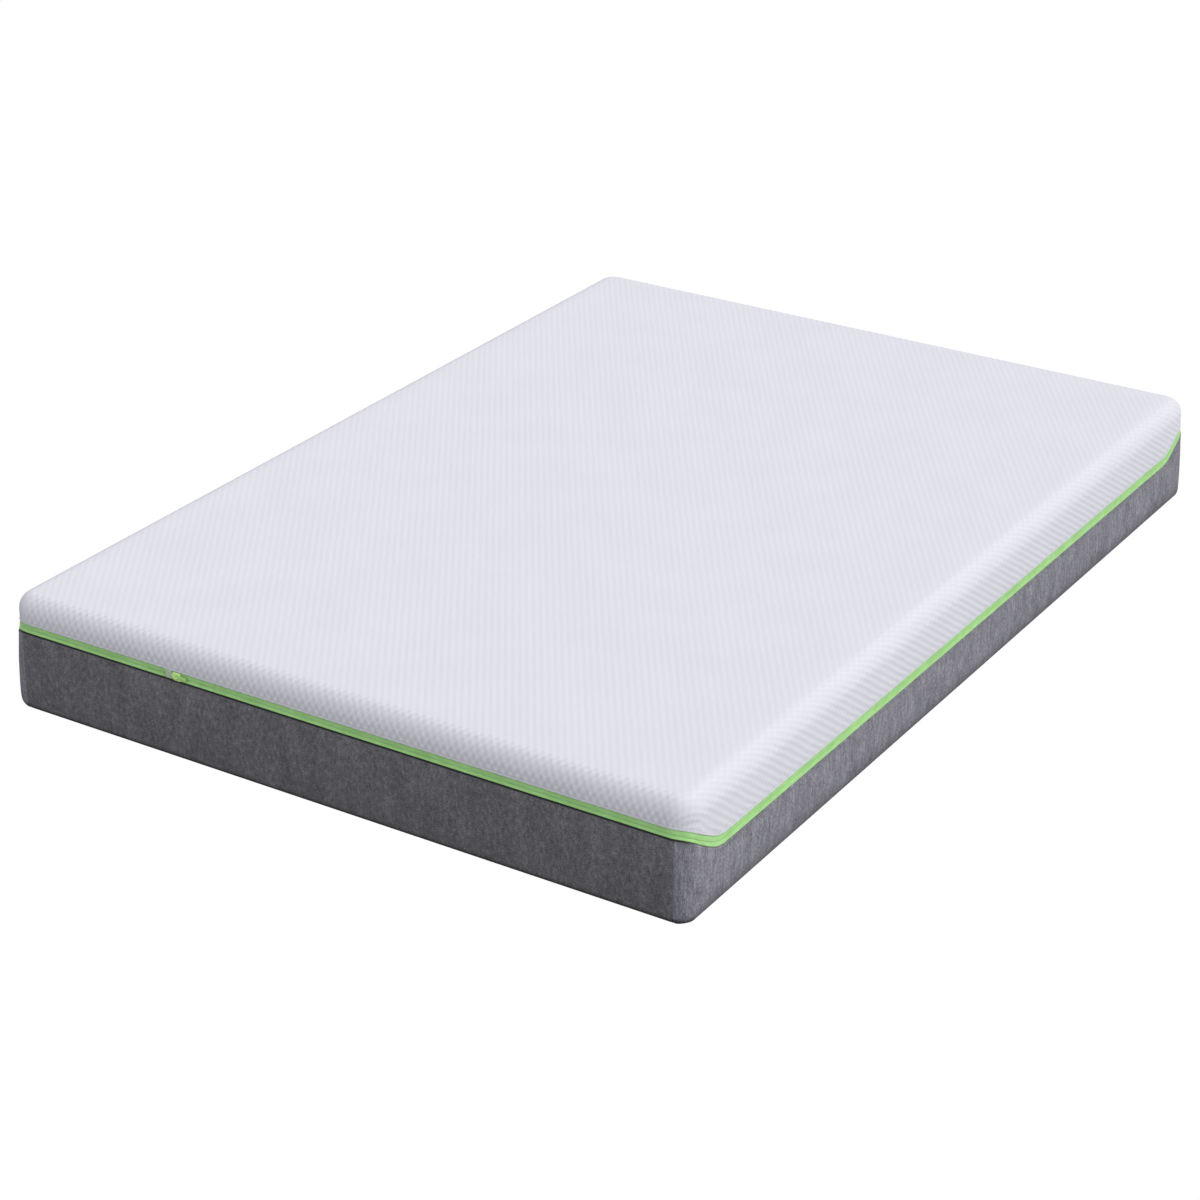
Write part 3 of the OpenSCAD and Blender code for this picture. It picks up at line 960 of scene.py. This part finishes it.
for a, b in zip(rim_ids, rim_ids[1:] + rim_ids[:1]):
    faces.append((a, half + a, half + b, b))
sheet = np.stack([points[:, 0], points[:, 2], 0 * points[:, 2]], -1)
patch = mesh_object("zip_end_patch_woven", points, faces, sheet)
subdivide(patch)
dress(patch, "patch", "base_cover", ["zip_end_patch"])

# ---- slider and pull


def moulded(o, bevel, segments=3):
    """A part with its sharp edges rounded, as a real mesh."""
    m = o.modifiers.new("bevel", "BEVEL")
    m.width, m.segments, m.limit_method, m.angle_limit = bevel, segments, "ANGLE", math.radians(35)
    bpy.context.view_layer.update()
    dg = bpy.context.evaluated_depsgraph_get()
    made = add_object(o.name + "_real", bpy.data.meshes.new_from_object(o.evaluated_get(dg)))
    bpy.data.objects.remove(o, do_unlink=True)
    return made


def prism(name, outline_xz, y0, y1):
    """A plate with an outline in x and z, between two y."""
    n = len(outline_xz)
    pts = [(x, y, z) for y in (y0, y1) for x, z in outline_xz]
    faces = [tuple(range(n)), tuple(range(2 * n - 1, n - 1, -1))]
    faces += [(i, n + i, n + (i + 1) % n, (i + 1) % n) for i in range(n)]
    return mesh_object(name, pts, faces)


def ring_plate(name, outer, inner, y0, y1):
    """A plate with a hole: two outlines with as many points each."""
    n = len(outer)
    pts = [(x, y, z) for y in (y0, y1) for ring in (outer, inner) for x, z in ring]
    faces = []
    for i in range(n):
        j = (i + 1) % n
        faces += [
            (i, j, n + j, n + i), (2 * n + i, 3 * n + i, 3 * n + j, 2 * n + j),
            (i, 2 * n + i, 2 * n + j, j), (n + i, n + j, 3 * n + j, 3 * n + i),
        ]
    return mesh_object(name, pts, faces)


def arc(x, z, rx, rz, start, turn, steps):
    """Points on an arc about x and z, from a start angle over a turn in degrees."""
    angles = [math.radians(start + turn * i / steps) for i in range(steps + 1)]
    return [(x + rx * math.cos(a), z + rz * math.sin(a)) for a in angles]


FRONT_Y = -HALF_L
Z0 = ZIP_END_Z
PLATE_H, PLATE_L = 16 * MM, 20 * MM
PLATE_X = SLIDER_X - PLATE_L / 2 - 1 * MM


def plate(name, y0, y1):
    """A slider's plate: a round nose on the left and softly squared corners on the right."""
    r, q = PLATE_H / 2, 2.2 * MM
    right = PLATE_X + PLATE_L
    pts = arc(PLATE_X + r, Z0, r, r, 90, 180, 14)
    pts += arc(right - q, Z0 - r + q, q, q, -90, 90, 4) + arc(right - q, Z0 + r - q, q, q, 0, 90, 4)
    return prism(name, pts, y0, y1)


def arch(steps=16):
    """A strap bent over the pull's bar."""
    pts, faces = [], []
    for i in range(steps + 1):
        a = math.pi * i / steps
        x, y = SLIDER_X - 4.4 * MM * math.cos(a), FRONT_Y + 0.6 * MM - 3.9 * MM * math.sin(a) ** 0.6
        half_w = (1.25 + 0.25 * abs(math.cos(a))) * MM
        for out, dz in ((0.5, -1), (0.5, 1), (-0.5, 1), (-0.5, -1)):
            pts.append((x - math.cos(a) * out * MM, y - math.sin(a) * out * MM, Z0 + dz * half_w))
    for i in range(steps):
        for k in range(4):
            m = (k + 1) % 4
            faces.append((i * 4 + k, i * 4 + m, (i + 1) * 4 + m, (i + 1) * 4 + k))
    last = 4 * steps
    faces += [(0, 1, 2, 3), (last + 3, last + 2, last + 1, last)]
    return mesh_object("arch", pts, faces)


back_y = FRONT_Y + 7.0 * MM
slider = join("slider_body_moulded", [
    moulded(plate("plate", FRONT_Y, FRONT_Y + 2.6 * MM), 1.7 * MM, 5),
    moulded(plate("back_plate", back_y, back_y + 1.6 * MM), 0.5 * MM),
    rounded_block(
        "fin", (SLIDER_X - 7 * MM, FRONT_Y + 2 * MM, Z0 - 0.35 * MM),
        (SLIDER_X, FRONT_Y + 7.4 * MM, Z0 + 0.35 * MM), 0.1 * MM,
    ),
    rounded_block(
        "lip", (PLATE_X + 6 * MM, FRONT_Y + 4.9 * MM, Z0 - 6.5 * MM),
        (PLATE_X + PLATE_L, FRONT_Y + 7.4 * MM, Z0 - 4.9 * MM), 0.3 * MM,
    ),
    moulded(arch(), 0.3 * MM),
])
dress(slider, "slider", "zip_slider", ["slider_body"])


def pull_outline(x0, x1, half_h, tip):
    """An outline with a rounded tip on the right and a flatter end on the left."""
    right = arc(x1 - tip, Z0, tip, half_h, -90, 180, 10)
    return right + arc(x0 + 1.5 * MM, Z0, 1.5 * MM, half_h * 0.8, 90, 180, 10)


pull_lo, pull_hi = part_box("pull_tab")
pull_y = (pull_lo.y + pull_hi.y) / 2
pull = join("pull_tab_moulded", [moulded(ring_plate(
    "pull_frame",
    pull_outline(SLIDER_X - 0.8 * MM, pull_hi.x, 4.0 * MM, 4.0 * MM),
    pull_outline(SLIDER_X + 0.9 * MM, SLIDER_X + 6.4 * MM, 2.6 * MM, 2.0 * MM),
    pull_y - 0.8 * MM, pull_y + 0.8 * MM,
), 0.35 * MM)])
dress(pull, "pull", "zip_pull", ["pull_tab"])

# ---- padding, wadding and foam

PAD_STEP, FOAM_STEP, WAD_STEP = 20 * MM, 24 * MM, 26 * MM
FOAM_DEPTH = 14 * MM

pad_st = all_round(shares(CORNER_X, PAD_STEP), shares(CORNER_Y, PAD_STEP))
z0 = zip_z(pad_st)
low, high = turn_r(pad_st) + 0.5 * MM, z0 - 19 * MM
front_z = low + (high - low) * np.linspace(0, 1, 9)[None, :]
face, rim = 0 * front_z, 0 * z0 + 7.5 * MM
pad_d = np.concatenate([face + 3.2 * MM, rim, face + 11.8 * MM, rim], 1)
pad_z = np.concatenate([front_z, high + 0.4 * MM, front_z[:, ::-1], low - 0.4 * MM], 1)
uneven = 0.9 * MM * waves(lengths(pad_st)[:, None], pad_z, 0.09, 11) - 0.6 * MM
pad_d = np.minimum(pad_d + (pad_d > 10 * MM) * uneven, 12.6 * MM)
pad = skin("border_padding_soft", pad_st, pad_d, pad_z, closed=True, ring=True)
subdivide(pad)
dress(pad, "padding", "base_cover", ["border_padding"])


def foam_block(node, slot, r_low, r_high, seed):
    """A cut slab of foam with rounded edges of two radii and slightly uneven walls."""
    lo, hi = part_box(node)
    low, high = lo.z, hi.z
    fx, fy = shares(CORNER_X, FOAM_STEP), shares(CORNER_Y, FOAM_STEP)
    st = all_round(fx, fy)
    turn = np.radians(np.linspace(0, 90, 5))
    rows = [(LID_DEPTH, low)]
    rows += [(FOAM_DEPTH + r_low * (1 - math.sin(a)), low + r_low * (1 - math.cos(a))) for a in turn]
    tall = high - r_high - low - r_low
    rows += [(FOAM_DEPTH, low + r_low + tall * t) for t in np.linspace(0, 1, 6)[1:-1]]
    rows += [
        (FOAM_DEPTH + r_high * (1 - math.cos(a)), high - r_high + r_high * math.sin(a)) for a in turn
    ]
    rows = np.array(rows + [(LID_DEPTH, high)])
    wall = np.broadcast_to(rows[:, 0], (len(st), len(rows))).copy()
    uneven = np.abs(waves(lengths(st)[:, None], rows[:, 1][None, :], 0.12, seed))
    wall += 0.5 * MM * uneven * (wall < 0.04)
    o = skin(f"{node}_soft", st, wall, rows[:, 1], closed=True, lids=[(0, fx, fy), (-1, fx, fy)])
    subdivide(o)
    dress(o, slot, "foam_core", [node])


foam_block("support_foam_core", "support_foam", 6 * MM, 2 * MM, 21)
foam_block("transition_foam_layer", "transition_foam", 2 * MM, 2 * MM, 22)
foam_block("memory_foam_layer", "memory_foam", 2 * MM, 19 * MM, 23)

# Wadding: an outer and an inner face, each a wall, a rounded edge and a roof
WAD_DEPTH, WAD_INNER_DEPTH = 4.0 * MM, 12.6 * MM
wad_fx, wad_fy = shares(CORNER_X, WAD_STEP), shares(CORNER_Y, WAD_STEP)
wad_st = all_round(wad_fx, wad_fy)
wad_r, roof, under = EDGE_R - 3 * MM, HEIGHT - 4.0 * MM, HEIGHT - 12.8 * MM
inner_r = wad_r - 9.4 * MM
turn = np.radians(np.linspace(0, 90, 6))
low = zip_z(wad_st) + 19 * MM
rim_row = (7.7 * MM, low - 0.4 * MM)
outer_rows = [rim_row, (WAD_DEPTH, low), (WAD_DEPTH, (low + shoulder) / 2)]
outer_rows += [
    (WAD_DEPTH + wad_r * (1 - math.cos(a)), roof - wad_r + wad_r * math.sin(a)) for a in turn
]
outer_rows += [(LID_DEPTH, roof)]
inner_rows = [(LID_DEPTH, under)]
inner_rows += [
    (WAD_INNER_DEPTH + inner_r * (1 - math.cos(a)), under - inner_r + inner_r * math.sin(a))
    for a in turn[::-1]
]
inner_rows += [(WAD_INNER_DEPTH, (low + under - inner_r) / 2), (12.2 * MM, low + 0.3 * MM), rim_row]


def wad_face(name, rows, lid_row):
    d, z = [np.concatenate([0 * low + value for value in column], 1) for column in zip(*rows)]
    return skin(name, wad_st, d, z, closed=True, lids=[(lid_row, wad_fx, wad_fy)])


wadding = join("top_wadding_soft", [wad_face("wad_a", outer_rows, -1), wad_face("wad_b", inner_rows, 0)])
weld(wadding.data)
co = coords(wadding)
inside = np.abs(co[:, 2] - under) < 1 * MM
co[:, 2] += inside * 0.5 * MM * waves(co[:, 0], co[:, 1], 0.10, 31)
set_coords(wadding, co)
subdivide(wadding)
dress(wadding, "wadding", "top_cover", ["top_wadding"])

# ---- stitching


def walk(points, pitch):
    """Points a pitch apart along a polyline, with the direction at each."""
    seg = np.linalg.norm(np.diff(points, axis=0), axis=1)
    s = np.concatenate([[0], np.cumsum(seg)])
    at = np.arange(pitch / 2, s[-1], pitch)
    p = np.stack([np.interp(at, s, points[:, i]) for i in range(3)], 1)
    k = np.clip(np.searchsorted(s, at) - 1, 0, len(seg) - 1)
    return p, np.diff(points, axis=0)[k] / seg[k][:, None]


# A stitch's rings: place along its length, then rise out of the cloth and girth in radii
STITCH_RINGS = [(-0.5, -0.6, 0.55), (-0.3, 0.55, 1.0), (0.3, 0.55, 1.0), (0.5, -0.6, 0.55)]


def stitches(name, centre, way, up, length, radius, look, body):
    """A row of thread stitches: each a short tube that rises out of the cloth and dips back in."""
    up = up - (up * way).sum(1, keepdims=True) * way
    up /= np.linalg.norm(up, axis=1, keepdims=True)
    across = np.cross(way, up)
    pts, faces = [], []
    for along, rise, girth in STITCH_RINGS:
        middle = centre + way * along * length + up * rise * radius
        r = radius * girth
        for a in np.radians((45, 135, 225, 315)):
            pts.append(middle + across * r * math.cos(a) + up * r * math.sin(a))
    pts = np.stack(pts, 1).reshape(-1, 3)
    for i in range(len(centre)):
        b = i * 16
        for ring in range(3):
            for k in range(4):
                q, m = b + ring * 4, (k + 1) % 4
                faces.append((q + k, q + m, q + 4 + m, q + 4 + k))
        faces += [(b + 3, b + 2, b + 1, b), (b + 12, b + 13, b + 14, b + 15)]
    dress(mesh_object(name, pts, faces), look, body)


def seam_line(st, depth, rise):
    """Points and outward directions along the wall at a height over the zip line."""
    z = zip_z(st) + rise
    if rise < 0:
        z = z - tuck(zip_z(st))
    p = place(st, np.full(z.shape, depth), z)[:, 0]
    a = np.radians(st[:, 2])
    return p, np.stack([np.cos(a), np.sin(a), 0 * a], -1)


stitch_st = all_round(shares(CORNER_X, 10 * MM), shares(CORNER_Y, 6 * MM), 10)
stitch_st = np.concatenate([stitch_st, stitch_st[:1]])
for name, depth, rise, look, body, slot in (
    ("hem_stitches", 0.6 * MM, 11.1 * MM, "thread_white", "top_cover", "knit_fabric"),
    ("border_top_stitches", 0.05 * MM, -13.2 * MM, "thread_grey", "base_cover", "border_fabric"),
):
    p, normal = seam_line(stitch_st, depth, rise)
    centre, way = walk(p, 4.2 * MM)
    near = np.array([np.argmin(((p[:, :2] - c[:2]) ** 2).sum(1)) for c in centre])
    stitches(name, centre, way, normal[near], 3.2 * MM, 0.38 * MM, look, body)

# Underside seam between the border and the bottom panel
p = place(stitch_st, turn_r(stitch_st) + 3.2 * MM, np.full((len(stitch_st), 1), 0.9 * MM))[:, 0]
p[:, 2] = 0.45 * MM
centre, way = walk(p, 5 * MM)
down = np.tile([0.0, 0.0, -1.0], (len(centre), 1))
stitches(
    "bottom_seam_stitches", centre, way, down, 3.8 * MM, 0.40 * MM,
    "thread_grey", "base_cover",
)

# ---- stage and light


STAGE_R, STAGE_H, STAGE_SIDES = 60, 50, 64


def stage_piece(name, points, faces, look):
    me = bpy.data.meshes.new(name)
    me.from_pydata(points, [], faces)
    me.materials.append(look.mat)
    o = add_object(name, me)
    return o


def circle(z):
    angles = [2 * math.pi * i / STAGE_SIDES for i in range(STAGE_SIDES)]
    return [(STAGE_R * math.cos(a), STAGE_R * math.sin(a), z) for a in angles]


# The camera sees a pale floor and backdrop, which light nothing. A grey floor lights the part.
seen = Look("floor_seen")
seen.shader.inputs["Emission Color"].default_value = (1, 1, 1, 1)
seen.shader.inputs["Emission Strength"].default_value = 0.96
seen.done((0.20, 0.20, 0.20), 1.0, Specular_IOR_Level=0.0)
lit = Look("floor_lit")
lit.done((0.30, 0.30, 0.30), 1.0, Specular_IOR_Level=0.0)

n = STAGE_SIDES
walls = [(i, (i + 1) % n, n + (i + 1) % n, n + i) for i in range(n)]
floor_seen = stage_piece("floor_seen", circle(-0.4 * MM), [range(n)], seen)
backdrop = stage_piece("backdrop", circle(-0.4 * MM) + circle(STAGE_H), walls, seen)
for o in (floor_seen, backdrop):
    o.visible_diffuse = o.visible_glossy = o.visible_shadow = False
floor_lit = stage_piece("floor_lit", circle(-0.2 * MM), [range(n)], lit)
floor_lit.visible_camera = False

world = bpy.data.worlds.new("studio")
scene.world = world
world.use_nodes = True
background = next(n for n in world.node_tree.nodes if n.type == "BACKGROUND")
background.inputs["Color"].default_value = (0.97, 0.98, 1.0, 1)
background.inputs["Strength"].default_value = 0.80

# A large soft light from the right and a little from the back
key = bpy.data.objects.new("key", bpy.data.lights.new("key", "SUN"))
scene.collection.objects.link(key)
key.data.energy = 2.13
key.data.angle = math.radians(80)
key.data.color = (1.0, 0.99, 0.97)
key.rotation_euler = (math.radians(-7), math.radians(50), 0)
